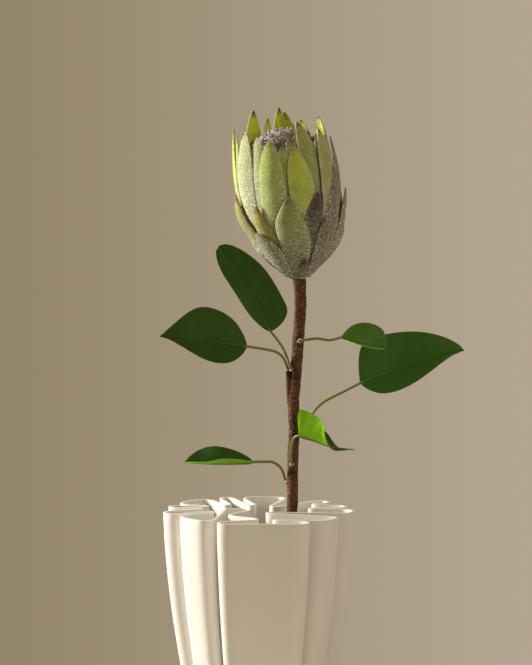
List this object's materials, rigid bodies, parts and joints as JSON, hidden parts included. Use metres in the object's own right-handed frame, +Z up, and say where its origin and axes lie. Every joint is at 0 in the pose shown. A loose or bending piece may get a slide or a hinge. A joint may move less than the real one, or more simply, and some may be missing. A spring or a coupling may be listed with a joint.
{
  "type": "protea flower in a vase",
  "caption": "Upright protea flower head of layered velvety bracts on a straight bark-covered stem with stalked leaves, standing in a pale vase whose wall is one deeply folded ribbon.",
  "frame": {"origin": "centre of the vase's flat foot, on the surface it stands on", "axes": "+Z up through the flower; -Y is the side shown as the front; +X to the right of it"},
  "size_m": [0.2277, 0.1436, 0.4939],
  "materials": {
    "ceramic": "matt, unglazed, warm white",
    "bark": "rough red-brown bark",
    "leaf": "satin dark green",
    "bract": "velvety yellow-green with maroon tips",
    "core": "felted grey-green",
    "styles": "matt mauve-grey"
  },
  "bodies": {
    "root": {"bract_0_0": "bract", "bract_0_1": "bract", "bract_0_2": "bract", "bract_0_3": "bract", "bract_0_4": "bract", "bract_0_5": "bract", "bract_0_6": "bract", "bract_1_0": "bract", "bract_1_1": "bract", "bract_1_2": "bract", "bract_1_3": "bract", "bract_1_4": "bract", "bract_1_5": "bract", "bract_2_0": "bract", "bract_2_1": "bract", "bract_2_2": "bract", "bract_2_3": "bract", "bract_2_4": "bract", "bract_2_5": "bract", "bract_2_6": "bract", "bract_3_0": "bract", "bract_3_1": "bract", "bract_3_2": "bract", "bract_3_3": "bract", "bract_3_4": "bract", "bract_3_5": "bract", "bract_3_6": "bract", "bract_3_7": "bract", "bract_3_8": "bract", "bract_4_0": "bract", "bract_4_1": "bract", "bract_4_2": "bract", "bract_4_3": "bract", "bract_4_4": "bract", "bract_4_5": "bract", "bract_4_6": "bract", "bract_5_0": "bract", "bract_5_1": "bract", "bract_5_2": "bract", "bract_5_3": "bract", "bract_5_4": "bract", "bract_5_5": "bract", "bract_5_6": "bract", "bract_6_0": "bract", "bract_6_1": "bract", "bract_6_2": "bract", "bract_6_3": "bract", "bract_6_4": "bract", "bract_6_5": "bract", "bract_6_6": "bract", "core": "core", "leaf_front": "leaf", "leaf_large": "leaf", "leaf_left": "leaf", "leaf_low": "leaf", "leaf_small": "leaf", "leaf_tall": "leaf", "stem": "bark", "styles": "styles", "vase": "ceramic"}
  },
  "joints": []
}
